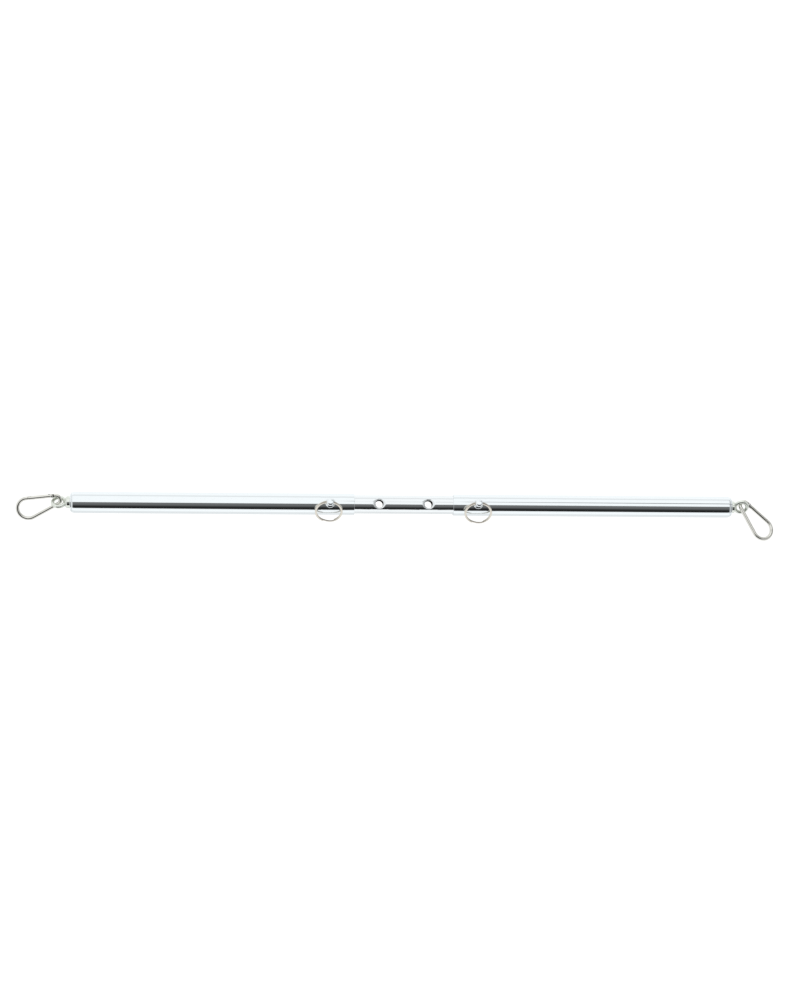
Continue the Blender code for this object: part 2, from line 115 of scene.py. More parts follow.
def rounded(profile, radius, steps=4):
    """A (radius, height) profile with its inner corners rounded.

    A point a little before and after each rounding keeps the shading of the flats beside it flat.
    """
    support = 1.25
    result = [profile[0]]
    for before, corner, after in zip(profile, profile[1:], profile[2:]):
        here = Vector(corner)
        back, onward = Vector(before) - here, Vector(after) - here
        reach = min(radius, back.length * 0.4, onward.length * 0.4)
        first, last = here + back.normalized() * reach, here + onward.normalized() * reach
        result.append(tuple(here + back.normalized() * reach * support))
        for i in range(steps + 1):
            t = i / steps
            result.append(tuple(first.lerp(here, t).lerp(here.lerp(last, t), t)))
        result.append(tuple(here + onward.normalized() * reach * support))
    result.append(profile[-1])
    return result


def turned(profile, sides):
    """Points and faces of a profile turned about Z. Radius 0 makes a pole."""
    points, faces, rings = [], [], []
    for radius, height in profile:
        if radius < 1e-7:
            rings.append([len(points)])
            points.append((0, 0, height))
        else:
            rings.append(list(range(len(points), len(points) + sides)))
            points += [
                (radius * cos(2 * pi * j / sides), radius * sin(2 * pi * j / sides), height)
                for j in range(sides)
            ]
    for low, high in zip(rings, rings[1:]):
        for j in range(sides):
            k = (j + 1) % sides
            if len(low) == 1:
                faces.append((low[0], high[j], high[k]))
            elif len(high) == 1:
                faces.append((low[j], high[0], low[k]))
            else:
                faces.append((low[j], high[j], high[k], low[k]))
    return points, faces


def turned_ring(profile, sides):
    """Points and faces of a closed profile turned about Z."""
    points, faces = turned(profile + [profile[0]], sides)
    keep = len(profile) * sides
    return points[:keep], [tuple(i % keep for i in face) for face in faces]


def drilled_tube(start, end, outer, bore, holes, dish, soft):
    """A tube along X with round cross holes. A hole is (x, 1 or -1 for the top or bottom).

    Each hole sits in a patch of its own, an eighth of the way round to either side, whose
    faces run from a square border to the hole's rim. Dish is (depth, reach along, reach across).
    Soft is how the start and the end are rounded, as (length, depth) pairs.
    Gives the points, the faces, and the number of faces that come before the bore's.
    """
    around = TUBE_SIDES
    half, along, eighth = 10 * MM, around // 4, around // 8
    longest, close = 12 * MM, 1e-6
    chamfer, rim_rounding = 0.12 * MM, {0.0: 0.16, 0.01: 0.05}
    steepness, wall_shares = 1.6, (0.08, 0.92)
    # shares are the places of an end's stations in its rounding, and levels are the places of a
    # patch's loops between the hole's rim and the border
    shares = (0, 0.03, 0.1, 0.22, 0.4, 0.65, 1)
    levels = (0.8, 0.62, 0.5, 0.4, 0.32, 0.25, 0.19, 0.14, 0.1, 0.07, 0.045, 0.025, 0.01, 0.0)

    stations = [start + soft[0][0] * share for share in shares]
    patch_start = {}
    centres = sorted({x for x, _ in holes})
    edge = stations[-1]
    for x in centres:
        gap = x - half - edge
        pieces = max(1, round(gap / longest))
        if gap > close:
            stations += [edge + gap * i / pieces for i in range(1, pieces)]
        if x - half > stations[-1] + close:
            stations.append(x - half)
        patch_start[x] = len(stations) - 1
        stations += [x - half + 2 * half * i / along for i in range(1, along + 1)]
        edge = x + half
    gap = end - soft[1][0] - edge
    pieces = max(1, round(gap / longest))
    stations += [edge + gap * i / pieces for i in range(1, pieces + 1)]
    stations += [end - soft[1][0] * share for share in reversed(shares[:-1])]

    def rounding(x):
        """How far the outside lies below its radius at x."""
        drop = 0
        for (length, depth), inset in zip(soft, (x - start, end - x)):
            if inset < length:
                drop = depth * (1 - sqrt(1 - (1 - max(inset, 0) / length) ** 2))
        return drop

    points, faces = [], []
    rims, ends = {}, []

    def join(one, two):
        for i in range(len(one)):
            k = (i + 1) % len(one)
            faces.append((one[i], one[k], two[k], two[i]))

    for surface, radius in (("outer", outer), ("bore", bore)):
        first, outside = len(points), len(faces)
        for s, x in enumerate(stations):
            lip = chamfer if s in (0, len(stations) - 1) else 0
            r = radius - rounding(x) if surface == "outer" else radius + lip
            for j in range(around):
                angle = 2 * pi * j / around
                points.append((x, r * sin(angle), r * cos(angle)))
        skipped = set()
        for x, way in holes:
            s0, j0 = patch_start[x], 0 if way == 1 else around // 2
            for s in range(s0, s0 + along):
                for j in range(-eighth, eighth):
                    skipped.add((s, (j0 + j) % around))
            border = [(s0 + along, j) for j in range(0, eighth)]
            border += [(s0 + along - i, eighth) for i in range(along)]
            border += [(s0, eighth - i) for i in range(2 * eighth)]
            border += [(s0 + i, -eighth) for i in range(along)]
            border += [(s0 + along, -eighth + i) for i in range(eighth)]
            loop = [first + s * around + (j0 + way * j) % around for s, j in border]
            previous = loop
            for level in levels:
                ring = []
                for i, v in enumerate(loop):
                    angle = 2 * pi * i / len(loop)
                    rim_x, rim_y = HOLE_RADIUS * cos(angle), HOLE_RADIUS * sin(angle)
                    place = Vector((x + rim_x, rim_y)).lerp(Vector(points[v][:2]), level)
                    away = sqrt(((place.x - x) / dish[1]) ** 2 + (place.y / dish[2]) ** 2)
                    rim_away = sqrt((rim_x / dish[1]) ** 2 + (rim_y / dish[2]) ** 2)
                    share = min(max((1 - away) / (1 - rim_away), 0), 1)
                    depth = dish[0] * share**steepness
                    edge_round = rim_rounding.get(level, 0) * MM
                    r = radius - depth + (-edge_round if surface == "outer" else edge_round)
                    ring.append(len(points))
                    points.append((place.x, place.y, way * sqrt(r * r - place.y**2)))
                join(previous, ring)
                previous = ring
            rims.setdefault((x, way), []).append(previous)
        for s in range(len(stations) - 1):
            for j in range(around):
                if (s, j) in skipped:
                    continue
                k = (j + 1) % around
                a, b = first + s * around, first + (s + 1) * around
                faces.append((a + j, a + k, b + k, b + j))
        last = first + (len(stations) - 1) * around
        ends.append((range(first, first + around), range(last, last + around)))
    for one, two in rims.values():
        middle = []
        for share in wall_shares:
            ring = []
            for a, b in zip(one, two):
                ring.append(len(points))
                points.append(tuple(Vector(points[a]).lerp(Vector(points[b]), share)))
            middle.append(ring)
        for a, b in ((one, middle[0]), (middle[0], middle[1]), (middle[1], two)):
            join(a, b)
    for a, b in zip(*ends):
        join(a, b)
    return points, faces, outside


def make_piece(name, shape, place=None, sharp=None):
    """A smooth-shaded object from points and faces, with its normals facing out.

    Edges whose faces meet at more than sharp degrees stay sharp.
    """
    mesh = bpy.data.meshes.new(name)
    bm = bmesh.new()
    vertices = [bm.verts.new(point) for point in shape[0]]
    for face in shape[1]:
        bm.faces.new([vertices[i] for i in face])
    if place is not None:
        bm.transform(place)
    bmesh.ops.recalc_face_normals(bm, faces=bm.faces)
    bm.to_mesh(mesh)
    bm.free()
    mesh.shade_smooth()
    if sharp:
        mesh.set_sharp_from_angle(angle=radians(sharp))
    piece = bpy.data.objects.new(name, mesh)
    bpy.context.scene.collection.objects.link(piece)
    return piece


def settle(piece, sharp=None):
    """Applies a piece's modifiers, and removes the tools that they used."""
    tools = {m.object for m in piece.modifiers if m.type == "BOOLEAN"}
    bpy.context.view_layer.update()
    evaluated = piece.evaluated_get(bpy.context.evaluated_depsgraph_get())
    mesh = bpy.data.meshes.new_from_object(evaluated)
    piece.modifiers.clear()
    piece.data = mesh
    mesh.shade_smooth()
    if sharp:
        mesh.set_sharp_from_angle(angle=radians(sharp))
    for tool in tools:
        bpy.data.objects.remove(tool, do_unlink=True)


def combine(piece, tool, operation="DIFFERENCE"):
    """Cuts a tool out of a piece, or adds it. It takes effect when the piece is settled."""
    step = piece.modifiers.new(tool.name, "BOOLEAN")
    step.operation = operation
    step.solver = "EXACT"
    step.object = tool


def rod(radius, low, high):
    """The profile of a plain rod, to be turned as a tool that cuts a hole."""
    return [(0, low), (radius, low), (radius, high), (0, high)]


def box_shape(low, high):
    corners = [
        (x, y, z) for x in (low[0], high[0]) for y in (low[1], high[1]) for z in (low[2], high[2])
    ]
    faces = [(0, 1, 3, 2), (4, 6, 7, 5), (0, 4, 5, 1), (2, 3, 7, 6), (0, 2, 6, 4), (1, 5, 7, 3)]
    return corners, faces


def finish_piece(piece, node, body, slot, *materials):
    """Gives a piece its materials and its body, and hides the CAD node that it stands for."""
    piece.data.materials.clear()
    for material in materials:
        piece.data.materials.append(material)
    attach(piece, body)
    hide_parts(node)


# materials


def add_node(tree, kind, **inputs):
    """A node of a kind, with its inputs set to values or linked to sockets.

    An input goes by its name, or by i and its number where several have the same name.
    """
    node = tree.nodes.new(kind)
    for key, value in inputs.items():
        numbered = key[0] == "i" and key[1:].isdigit()
        socket = node.inputs[int(key[1:]) if numbered else key.replace("_", " ")]
        if isinstance(value, bpy.types.NodeSocket):
            tree.links.new(value, socket)
        else:
            socket.default_value = value
    return node


def set_ramp(ramp, stops):
    """Sets a colour ramp's grey stops from (position, value) pairs."""
    elements = ramp.color_ramp.elements
    while len(elements) < len(stops):
        elements.new(0.5)
    for element, (position, value) in zip(elements, stops):
        element.position = position
        element.color = (value, value, value, 1)


def metal(name, light, dark, rough, grain, mottle=60, relief=0.02, scratch=0.3):
    """Polished metal: two tints in soft patches, fine polishing grain, and thin scratches.

    Grain is how finely the polish lines run along each axis, in lines a metre. Rough is the
    lowest and highest roughness, and mottle is how fine the patches of tint are.
    """
    scratch_turn, scratch_grain, scratch_share = (0.3, 0.5, 0.9), (40, 2600, 1500), (0.68, 0.74)
    material = bpy.data.materials.new(name)
    material.use_nodes = True
    tree = material.node_tree
    shader = tree.nodes["Principled BSDF"]
    shader.inputs["Metallic"].default_value = 1
    place = tree.nodes.new("ShaderNodeTexCoord").outputs["Object"]

    patches = add_node(tree, "ShaderNodeTexNoise", Vector=place, Scale=mottle, Detail=3.0)
    tint = tree.nodes.new("ShaderNodeMix")
    tint.data_type = "RGBA"
    tree.links.new(patches.outputs["Fac"], tint.inputs["Factor"])
    tint.inputs["A"].default_value = (*dark, 1)
    tint.inputs["B"].default_value = (*light, 1)
    tree.links.new(tint.outputs["Result"], shader.inputs["Base Color"])

    lines = add_node(tree, "ShaderNodeMapping", Vector=place, Scale=grain)
    polish = add_node(
        tree, "ShaderNodeTexNoise", Vector=lines.outputs["Vector"], Scale=1.0, Detail=4.0
    )
    smudges = add_node(tree, "ShaderNodeTexNoise", Vector=place, Scale=mottle * 3, Detail=5.0)
    mixed = add_node(tree, "ShaderNodeMath", i0=polish.outputs["Fac"], i1=smudges.outputs["Fac"])
    mixed.operation = "MULTIPLY"
    spread = add_node(
        tree, "ShaderNodeMapRange", Value=mixed.outputs["Value"], From_Min=0.12, From_Max=0.42,
        To_Min=rough[0], To_Max=rough[1],
    )
    tree.links.new(spread.outputs["Result"], shader.inputs["Roughness"])

    scratches = add_node(
        tree, "ShaderNodeMapping", Vector=place, Rotation=scratch_turn, Scale=scratch_grain
    )
    marks = add_node(
        tree, "ShaderNodeTexNoise", Vector=scratches.outputs["Vector"], Scale=1.0, Detail=1.0
    )
    thin = add_node(
        tree, "ShaderNodeMapRange", Value=marks.outputs["Fac"], From_Min=scratch_share[0],
        From_Max=scratch_share[1], To_Max=scratch,
    )
    height = add_node(tree, "ShaderNodeMath", i0=polish.outputs["Fac"], i1=thin.outputs["Result"])
    height.operation = "SUBTRACT"
    bump = add_node(
        tree, "ShaderNodeBump", Strength=relief, Distance=0.1 * MM, Height=height.outputs["Value"]
    )
    tree.links.new(bump.outputs["Normal"], shader.inputs["Normal"])
    return material


METALS = {
    "tube_chrome": metal(
        "polished_tube", (0.755, 0.8, 0.82), (0.73, 0.775, 0.795), (0.035, 0.075), (1500, 30, 30)
    ),
    "inner_tube_chrome": metal(
        "polished_inner_tube", (0.76, 0.795, 0.81), (0.73, 0.765, 0.78), (0.04, 0.085),
        (1800, 30, 30),
    ),
    "nickel_plate": metal(
        "nickel_plate", (0.72, 0.72, 0.68), (0.64, 0.64, 0.595), (0.05, 0.11), (500, 500, 500),
        200, 0.04,
    ),
    "zinc_plate": metal(
        "zinc_plate", (0.74, 0.77, 0.72), (0.62, 0.66, 0.61), (0.1, 0.18), (700, 700, 700),
        260, 0.06,
    ),
    "plain_steel": metal(
        "machined_steel", (0.6, 0.6, 0.59), (0.5, 0.5, 0.49), (0.22, 0.34), (1200, 1200, 1200),
        300, 0.1,
    ),
}

# two looks that the record's slots don't tell apart from the rest of a tube and from a hook: the first
# is painted shade, an unpolished metal made near-black to keep the tube's inside dark, and the second
# is the ring's own nickel
# painted shade: the bore and the holes' walls get a metal far darker than steel, standing in for the
# shade inside the tube
BORE_PAINTED_SHADE = metal(
    "tube_inside_painted_shade", (0.17, 0.16, 0.14), (0.11, 0.1, 0.09), (0.35, 0.5), (1500, 30, 30), 90, 0.1
)
RING_NICKEL = metal(
    "ring_nickel", (0.66, 0.63, 0.57), (0.54, 0.51, 0.45), (0.035, 0.08), (500, 500, 500), 200, 0.03
)


# tubes

BROKEN_EDGE = (0.4 * MM, 0.15 * MM)


def paint_shade_inside(piece, first_face, start, end):
    """Gives the bore and the holes' walls the second material, the painted shade that keeps the tube's
    inside dark. The end faces stay polished.
    """
    clear = 0.1 * MM
    for face in piece.data.polygons:
        if face.index >= first_face and start + clear < face.center.x < end - clear:
            face.material_index = 1


def make_inner_tube():
    low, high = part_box("inner_tube")
    holes = [
        ((i + 0.5) * HOLE_PITCH, way) for i in range(-HOLES_A_SIDE, HOLES_A_SIDE) for way in (1, -1)
    ]
    dish = (1.3 * MM, 6.7 * MM, 5.3 * MM)
    shape = drilled_tube(
        low.x, high.x, INNER_RADIUS, INNER_BORE, holes, dish, (BROKEN_EDGE, BROKEN_EDGE)
    )
    piece = make_piece("bar_inner_tube", shape)
    finish_piece(
        piece, "inner_tube", "centre_tube", "inner_tube_chrome", METALS["inner_tube_chrome"], BORE_PAINTED_SHADE
    )
    paint_shade_inside(piece, shape[2], low.x, high.x)


def make_outer_tube(side, sign):
    low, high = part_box(f"{side}_outer_tube")
    far_rounding = (3.2 * MM, 1.0 * MM)
    hole, no_dish = (sign * PLUNGER_X, 1), (0, 8 * MM, 5 * MM)
    shape = drilled_tube(
        low.x, high.x, OUTER_RADIUS, OUTER_BORE, [hole], no_dish, (BROKEN_EDGE, far_rounding)[::sign]
    )
    piece = make_piece(f"{side}_arm_tube", shape)
    finish_piece(
        piece, f"{side}_outer_tube", f"{side}_arm", "tube_chrome", METALS["tube_chrome"], BORE_PAINTED_SHADE
    )
    paint_shade_inside(piece, shape[2], low.x, high.x)


# spring plungers


def make_boss(side, spot):
    """A round housing with a coned shoulder, hollow for the spring, whose foot follows the tube."""
    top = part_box(f"{side}_plunger_boss")[1].z
    base, bore = OUTER_RADIUS, HOLE_RADIUS
    stem_hole = STEM_RADIUS + 0.3 * MM
    profile = [
        (stem_hole, top - BOSS_ROOF), (stem_hole, top), (BOSS_RADIUS - 2.2 * MM, top),
        (BOSS_RADIUS, top - 1.2 * MM), (BOSS_RADIUS, base),
    ]
    outline = rounded(profile, 0.5 * MM)
    inside = [(bore, base), (bore, top - BOSS_ROOF)]
    points, faces = turned_ring(outline + inside, sides=64)
    foot, close = OUTER_RADIUS + 0.05 * MM, 1e-6
    points = [
        (x, y, sqrt(foot * foot - y * y)) if abs(z - base) < close else (x, y, z)
        for x, y, z in points
    ]
    piece = make_piece(f"{side}_boss", (points, faces), Matrix.Translation(spot), TURNED_EDGE)
    finish_piece(piece, f"{side}_plunger_boss", f"{side}_arm", "tube_chrome", METALS["tube_chrome"])


def make_knob(side, spot):
    """A knob with a full, slightly slanting crown, and a cross hole for the ring."""
    low, high = (corner.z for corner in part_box(f"{side}_pull_knob"))
    dome, slant, squareness, steps = 2.4 * MM, 0.06, 0.62, 18
    start = high - dome - 0.2 * MM
    crown = [(0, start + dome)]
    for i in range(steps - 1, 0, -1):
        a = pi / 2 * i / steps
        crown.append((KNOB_RADIUS * cos(a) ** squareness, start + dome * sin(a) ** squareness))
    stem_hole = STEM_RADIUS + 0.1 * MM
    body = [
        (KNOB_RADIUS, start), (KNOB_RADIUS, low + 0.3 * MM), (KNOB_RADIUS - 0.3 * MM, low),
        (stem_hole, low), (stem_hole, low + 0.9 * MM), (0, low + 0.9 * MM),
    ]
    points, faces = turned(crown + rounded(body, 0.25 * MM, 3), sides=64)
    points = [(x, y, z - slant * y * min(max((z - start) / dome, 0), 1)) for x, y, z in points]
    piece = make_piece(f"{side}_knob", (points, faces), Matrix.Translation(spot), TURNED_EDGE)
    hole = Matrix.Translation(spot + Vector((0, 0, RING_HOLE_HEIGHT)))
    across = hole @ Matrix.Rotation(pi / 2, 4, "Y")
    reach = 2 * KNOB_RADIUS
    drill = turned(rod(RING_HOLE_RADIUS, -reach, reach), sides=48)
    combine(piece, make_piece(f"{side}_knob_hole", drill, across))
    settle(piece, CUT_EDGE)
    finish_piece(piece, f"{side}_pull_knob", f"{side}_plunger", "tube_chrome", METALS["tube_chrome"])


def make_ring(side, spot):
    """Two turns of flattened wire, with a quick step from one turn to the other."""
    radius = RING_OUTER_RADIUS - RING_WIRE_WIDTH / 2
    sway = radians(RING_SWAY[side])
    reach = radius - 0.3 * MM
    centre_x, centre_y = reach * sin(sway), -reach * cos(sway)
    first_turn, last_turn, steps, around = 0.07, 1.93, 260, 24
    step_turn, step_length, squareness = 0.93, 0.14, 0.9
    rings = []
    for i in range(steps + 1):
        turn = first_turn + (last_turn - first_turn) * i / steps
        step = min(max((turn - step_turn) / step_length, 0), 1)
        height = RING_TURN_PITCH * (step * step * (3 - 2 * step) - 0.5)
        angle = 2 * pi * turn - pi / 2
        shrink = {0: 0.8, 1: 0.95}.get(min(i, steps - i), 1)
        ring = []
        for j in range(around):
            a = 2 * pi * j / around
            c, s = cos(a), sin(a)
            across = abs(c) ** squareness * (1 if c > 0 else -1) * RING_WIRE_WIDTH / 2 * shrink
            along = abs(s) ** squareness * (1 if s > 0 else -1) * RING_WIRE_THICKNESS / 2 * shrink
            r = radius + across
            ring.append((centre_x + r * cos(angle), centre_y + r * sin(angle), height + along))
        rings.append(ring)
    place = (
        Matrix.Translation(spot + Vector((0, 0, RING_HOLE_HEIGHT)))
        @ Matrix.Rotation(radians(RING_LEAN[side]), 4, "X")
    )
    piece = make_piece(f"{side}_split_ring", loft(rings), place)
    finish_piece(piece, f"{side}_pull_ring", f"{side}_ring", "nickel_plate", RING_NICKEL)


# ends


def make_end_plug(side, far_end):
    """A plug with a soft-edged flange and a shallow well round the eye's collar."""
    gap, face, recess, length = 0.06 * MM, 1.8 * MM, 1.0 * MM, 10.0 * MM
    bore, well, rim, plug = 2.6 * MM, COLLAR_RADIUS + 0.6 * MM, 10.25 * MM, OUTER_BORE - 0.3 * MM
    profile = [
        (bore, face - recess), (well, face - recess), (well, face), (rim - 2.6 * MM, face),
        (rim - 1.1 * MM, face - 0.25 * MM), (rim - 0.45 * MM, face - 0.75 * MM), (rim - 0.3 * MM, gap),
        (plug, gap), (plug, -length), (bore, -length), (bore, face - recess),
    ]
    shape = turned_ring(rounded(profile, 0.35 * MM)[:-1], TUBE_SIDES)
    piece = make_piece(f"{side}_plug", shape, far_end, TURNED_EDGE)
    finish_piece(piece, f"{side}_end_plug", f"{side}_arm", "tube_chrome", METALS["tube_chrome"])


def make_eye(side, far_end):
    """The eye and its neck in one forged shape, with soft fillets where they meet."""
    eye_height = EYE_X[side] - FAR_END
    collar, neck = 1.1 * MM, eye_height - EYE_RADIUS
    shoulder, spread = collar + 3.0 * MM, COLLAR_RADIUS - NECK_RADIUS
    shank_end, steps = -14 * MM, 12
    flare = []
    for i in range(steps, -1, -1):
        a = pi / 2 * i / steps
        flare.append((NECK_RADIUS + spread * cos(a), shoulder + (neck - shoulder) * sin(a)))
    profile = [
        (0, neck), *flare, (COLLAR_RADIUS, collar + 0.2 * MM), (COLLAR_RADIUS - 0.2 * MM, collar),
        (SHANK_RADIUS, collar), (SHANK_RADIUS, shank_end), (0, shank_end),
    ]
    piece = make_piece(f"{side}_eye", turned(profile, sides=48), far_end)
    rings, around, across = [], 96, 36
    for i in range(around):
        a = 2 * pi * i / around
        ring = []
        for j in range(across):
            b = 2 * pi * j / across
            reach = EYE_RADIUS + EYE_WIRE / 2 * cos(b)
            ring.append((reach * cos(a), reach * sin(a), EYE_WIRE / 2 * sin(b)))
        rings.append(ring)
    centre = Matrix.Translation((SIDES[side] * EYE_X[side], 0, 0))
    place = centre @ Matrix.Rotation(radians(EYE_ROLL[side]), 4, "X")
    combine(piece, make_piece(f"{side}_eye_loop", loft(rings, closed=True), place), "UNION")
    forged = piece.modifiers.new("forged", "REMESH")
    forged.mode = "VOXEL"
    forged.voxel_size = 0.2 * MM
    soft = piece.modifiers.new("soft", "SMOOTH")
    soft.factor = 0.5
    soft.iterations = 8
    settle(piece)
    finish_piece(piece, f"{side}_swivel_eye", f"{side}_eye", "zinc_plate", METALS["zinc_plate"])


# snap hooks


def make_hook_body(side, lie):
    """One bent wire: nose tongue, wide bend, spine, narrow bend and hinge tongue."""
    radius, half_tongue, nose_inner, around = HOOK_WIRE / 2, 0.8 * MM, 0.7 * MM, 36
    stations = []

    def add(point, outward, tongue=radius, inner=radius, scale=1.0):
        """A cross-section, cut flat at tongue to either side and at inner towards the inside."""
        stations.append((point, outward, tongue, inner, scale))

    for along, tongue, inner, scale in (
        (NOSE_TONGUE_START, half_tongue, nose_inner, 0.88),
        (NOSE_TONGUE_START + 0.15 * MM, half_tongue, nose_inner, 1),
        (NOSE_TONGUE_START + 1.4 * MM, half_tongue, nose_inner, 1),
        (NOSE_TONGUE_END - 0.05 * MM, half_tongue, nose_inner, 1),
        (NOSE_TONGUE_END + 0.02 * MM, radius * 0.93, radius * 0.93, 0.95),
        (NOSE_TONGUE_END + 0.14 * MM, radius, radius, 1),
        (NOSE_TONGUE_END + 0.6 * MM, radius, radius, 1),
    ):
        add(GATE_FOOT + GATE_SLOPE * along, GATE_OUT, tongue, inner, scale)
    quarter, wide_bends, narrow_bends = pi / 2 + FLARE, 72, 48
    for i in range(wide_bends + 1):
        a = quarter - 2 * quarter * i / wide_bends
        ray = Vector((cos(a), sin(a), 0))
        add(Vector((WIDE_X, 0, 0)) + ray * WIDE_RADIUS, ray)
    down = Vector((GATE_OUT.x, -GATE_OUT.y, 0))
    spine = Vector((GATE_SLOPE.x, -GATE_SLOPE.y, 0))
    for share in (0.96, 0.75, 0.5, 0.25, 0.04):
        add(down * NARROW_RADIUS + spine * LEG_LENGTH * share, down)
    for i in range(narrow_bends + 1):
        a = -quarter + (2 * quarter - 2 * pi) * i / narrow_bends
        ray = Vector((cos(a), sin(a), 0))
        add(ray * NARROW_RADIUS, ray)
    for along, tongue, scale in (
        (0.86 * MM, radius, 1), (0.98 * MM, radius * 0.93, 0.95), (1.05 * MM, half_tongue, 1),
        (3 * MM, half_tongue, 1), (5.15 * MM, half_tongue, 1), (5.3 * MM, half_tongue, 0.88),
    ):
        add(GATE_FOOT + GATE_SLOPE * along, GATE_OUT, tongue, radius, scale)
    rings = []
    for point, outward, tongue, inner, scale in stations:
        ring = []
        for j in range(around):
            a = 2 * pi * j / around
            across = max(radius * cos(a), -inner) * scale
            level = min(max(radius * sin(a), -tongue), tongue) * scale
            ring.append(point + outward * across + Vector((0, 0, level)))
        rings.append(ring)
    piece = make_piece(f"{side}_hook", loft(rings), lie, TURNED_EDGE)
    finish_piece(piece, f"{side}_hook_body", f"{side}_hook", "nickel_plate", METALS["nickel_plate"])


def make_gate(side, hinge):
    """A round bar with a domed end at its hinge, slotted over the hook's two tongues."""
    radius, steps = HOOK_WIRE / 2, 10
    length = NOSE_TONGUE_END - 0.3 * MM - HINGE_AT
    arc = [pi / 2 * i / steps for i in range(steps + 1)]
    dome = [(radius * sin(a), -radius * cos(a)) for a in arc]
    body = [(radius, 0.4 * MM), (radius, length), (0, length)]
    shape = turned(dome + rounded(body, 0.3 * MM, 3), sides=48)
    along = hinge @ Matrix.Rotation(pi / 2, 4, "Y")
    piece = make_piece(f"{side}_gate", shape, along, TURNED_EDGE)
    half, wide = 1.1 * MM, 4 * MM
    nose = NOSE_TONGUE_START - 0.4 * MM - HINGE_AT
    cutters = [
        box_shape((-wide, -wide, -half), (3.1 * MM, wide, half)),
        box_shape((nose, 1.0 * MM - radius, -half), (length + wide, wide, half)),
    ]
    for i, cutter in enumerate(cutters):
        combine(piece, make_piece(f"{side}_gate_cut_{i}", cutter, hinge))
    # the rivet's hole goes across, and the spring's bore along
    bores = [(rod(0.95 * MM, -wide, wide), hinge), (rod(1.15 * MM, 0, 9.0 * MM), along)]
    for i, (bore, place) in enumerate(bores):
        combine(piece, make_piece(f"{side}_gate_bore_{i}", turned(bore, sides=32), place))
    settle(piece, CUT_EDGE)
    finish_piece(piece, f"{side}_hook_gate", f"{side}_gate", "nickel_plate", METALS["nickel_plate"])


def make_rivet(side, hinge):
    """A pin with a low domed head at either end."""
    seat, head, shank = HOOK_WIRE / 2 + 0.05 * MM, 1.25 * MM, 0.85 * MM
    half = [(0, seat + 0.4 * MM), (0.45 * MM, seat + 0.38 * MM), (0.85 * MM, seat + 0.3 * MM),
            (1.12 * MM, seat + 0.2 * MM), (head, seat + 0.08 * MM), (head, seat), (shank, seat)]
    profile = half + [(r, -z) for r, z in reversed(half)]
    piece = make_piece(f"{side}_rivet", turned(profile, sides=32), hinge, TURNED_EDGE)
    finish_piece(piece, f"{side}_gate_rivet", f"{side}_hook", "plain_steel", METALS["plain_steel"])


def make_side(side, sign):
    spot = Vector((sign * PLUNGER_X, 0, 0))
    far_end = Matrix.Translation((sign * FAR_END, 0, 0)) @ Matrix.Rotation(sign * pi / 2, 4, "Y")
    turn = Euler([radians(angle) for angle in HOOK_TURN[side]]).to_matrix().to_4x4()
    lie = Matrix.Translation(HOOK_PLACE[side]) @ turn
    hinge_point = Matrix.Translation(GATE_FOOT + GATE_SLOPE * HINGE_AT)
    hinge = lie @ hinge_point @ Matrix.Rotation(FLARE, 4, "Z")
    make_outer_tube(side, sign)
    make_boss(side, spot)
    make_knob(side, spot)
    make_ring(side, spot)
    make_end_plug(side, far_end)
    make_eye(side, far_end)
    make_hook_body(side, lie)
    make_gate(side, hinge)
    make_rivet(side, hinge)


make_inner_tube()
for side, sign in SIDES.items():
    make_side(side, sign)

slots = {entry["node"]: entry["material_slot"] for entry in frame["record"]["subparts"]}
for node, cad_object in frame["nodes"].items():
    cad_object.data.materials.clear()
    cad_object.data.materials.append(METALS[slots[node]])


# studio


def flat_sheet(name, level):
    """A wide level sheet that glows white. It is given no body, so it isn't part of the object."""
    half, grey, glow = 4.0, 0.12, 0.93
    corners = [(-half, -half, level), (half, -half, level), (half, half, level), (-half, half, level)]
    sheet = make_piece(name, (corners, [(0, 1, 2, 3)]))
    material = bpy.data.materials.new(name)
    material.use_nodes = True
    shader = material.node_tree.nodes["Principled BSDF"]
    shader.inputs["Base Color"].default_value = (grey, grey, grey, 1)
    shader.inputs["Roughness"].default_value = 1
    shader.inputs["Specular IOR Level"].default_value = 0
    shader.inputs["Emission Color"].default_value = (1, 1, 1, 1)
    shader.inputs["Emission Strength"].default_value = glow
    sheet.data.materials.append(material)
    return sheet, material.node_tree, shader


def make_floor():
    """A pale floor, deep enough for the hooks to swing over, and a glowing paper under the bar.

    The camera looks through the paper, which only lights the bar and shows in its polish.
    """
    floor_level, paper_level, reach, brightness = -90 * MM, -11.2 * MM, 100 * MM, 1.15
    flat_sheet("floor", floor_level)
    paper, tree, shader = flat_sheet("light_paper", paper_level)
    paper.visible_camera = False
    # painted shadow: the paper glows a little less under the bar's near side than under its far side
    # and farther out, standing in for the bar's shadow on the floor as it shows in the bar's polish
    place = tree.nodes.new("ShaderNodeTexCoord").outputs["Object"]
    across = add_node(tree, "ShaderNodeSeparateXYZ", Vector=place).outputs["Y"]
    glow = tree.nodes.new("ShaderNodeValToRGB")
    share = add_node(tree, "ShaderNodeMapRange", Value=across, From_Min=-reach, From_Max=reach)
    tree.links.new(share.outputs["Result"], glow.inputs["Fac"])
    set_ramp(glow, [(0, 1), (0.12, 1), (0.22, 0.8), (0.46, 0.8), (0.54, 0.96), (1, 1)])
    strength = add_node(tree, "ShaderNodeMath", i0=glow.outputs["Color"], i1=brightness)
    strength.operation = "MULTIPLY"
    tree.links.new(strength.outputs["Value"], shader.inputs["Emission Strength"])


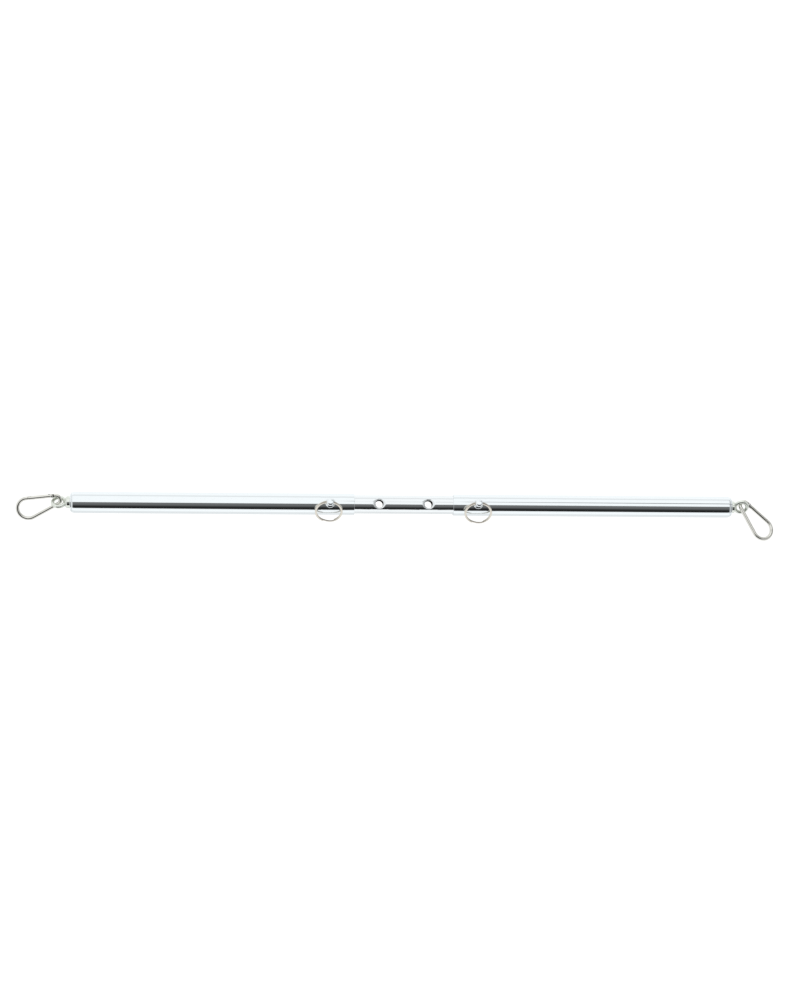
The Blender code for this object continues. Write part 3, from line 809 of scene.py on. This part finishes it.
def make_world():
    """White all round but for a dark strip overhead, as a light tent's opening leaves."""
    world = bpy.data.worlds.new("studio")
    bpy.context.scene.world = world
    world.use_nodes = True
    tree = world.node_tree
    tree.nodes.clear()

    def maths(kind, first, second=0.0):
        node = add_node(tree, "ShaderNodeMath", i0=first, i1=second)
        node.operation = kind
        return node.outputs["Value"]

    def ease(value, low, high, start, end):
        node = add_node(
            tree, "ShaderNodeMapRange", Value=value, From_Min=low, From_Max=high, To_Min=start,
            To_Max=end,
        )
        node.interpolation_type = "SMOOTHSTEP"
        return node.outputs["Result"]

    direction = tree.nodes.new("ShaderNodeTexCoord").outputs["Generated"]
    parts = add_node(tree, "ShaderNodeSeparateXYZ", Vector=direction)
    along = parts.outputs["X"]
    over = maths("ARCTAN2", maths("MULTIPLY", parts.outputs["Y"], -1.0), parts.outputs["Z"])
    ramp = tree.nodes.new("ShaderNodeValToRGB")
    share = add_node(tree, "ShaderNodeMapRange", Value=over, From_Min=-pi, From_Max=pi)
    tree.links.new(share.outputs["Result"], ramp.inputs["Fac"])
    # degrees from overhead, positive towards -Y, and how bright it is there
    stops = [
        (-180, 0.8), (-92, 0.9), (-84, 0.9), (-79, 0.76), (-70, 0.76), (-65, 0.94), (2, 0.94),
        (4.5, 0.13), (14, 0.15), (25, 0.13), (34, 0.09), (42, 0.03), (52, 0.017), (68, 0.014),
        (72, 0.92), (92, 0.95), (180, 0.8),
    ]
    set_ramp(ramp, [((turn + 180) / 360, value) for turn, value in stops])
    # a seam in the tent to the right, and dim ends beyond the bar's two ends
    from_seam = maths("ABSOLUTE", maths("ADD", over, 0.49))
    seam = maths("MULTIPLY", ease(along, 0.0, 0.2, 0, 0.8), ease(from_seam, 0.02, 0.1, 1, 0))
    middle = ease(maths("ABSOLUTE", along), 0.35, 0.65, 1, 0)
    ends = ease(along, -0.5, 0.5, 0.8, 0.48)
    grey = maths("ADD", maths("MULTIPLY", ramp.outputs["Color"], middle),
                 maths("MULTIPLY", ends, maths("SUBTRACT", 1.0, middle)))
    brightness = 1.3
    strength = maths("MULTIPLY", maths("MULTIPLY", maths("SUBTRACT", 1.0, seam), grey), brightness)
    light = add_node(tree, "ShaderNodeBackground", Color=(1, 1, 1, 1), Strength=strength)
    seen = add_node(tree, "ShaderNodeBackground", Color=(1, 1, 1, 1), Strength=1.0)
    path = tree.nodes.new("ShaderNodeLightPath")
    mix = add_node(tree, "ShaderNodeMixShader", i0=path.outputs["Is Camera Ray"],
                     i1=light.outputs["Background"], i2=seen.outputs["Background"])
    output = tree.nodes.new("ShaderNodeOutputWorld")
    tree.links.new(mix.outputs["Shader"], output.inputs["Surface"])


def make_camera():
    """Almost overhead, a little towards -Y and the left, as in the photograph."""
    elevation, sideways, roll = radians(84.64), radians(3.14), radians(0.14)
    distance = 2.0
    down, over = cos(elevation) * cos(sideways), sin(elevation) * cos(sideways)
    back = Vector((-sin(sideways), -down, over)).normalized()
    right = Vector((0, 1, 0)).cross(back).normalized()
    up = back.cross(right)
    turned_right = right * cos(roll) + up * sin(roll)
    turned_up = up * cos(roll) - right * sin(roll)
    data = bpy.data.cameras.new("camera")
    data.sensor_width = 36
    data.lens = 70.8
    data.clip_start = 0.01
    camera = bpy.data.objects.new("camera", data)
    bpy.context.scene.collection.objects.link(camera)
    aim_left, aim_up = 10.3, 5.2
    location = back * distance - turned_right * aim_left * MM + turned_up * aim_up * MM
    camera.matrix_world = Matrix(
        [(turned_right[i], turned_up[i], back[i], location[i]) for i in range(3)] + [(0, 0, 0, 1)]
    )
    bpy.context.scene.camera = camera


make_floor()
make_world()
make_camera()
bpy.context.scene.view_settings.view_transform = "Standard"
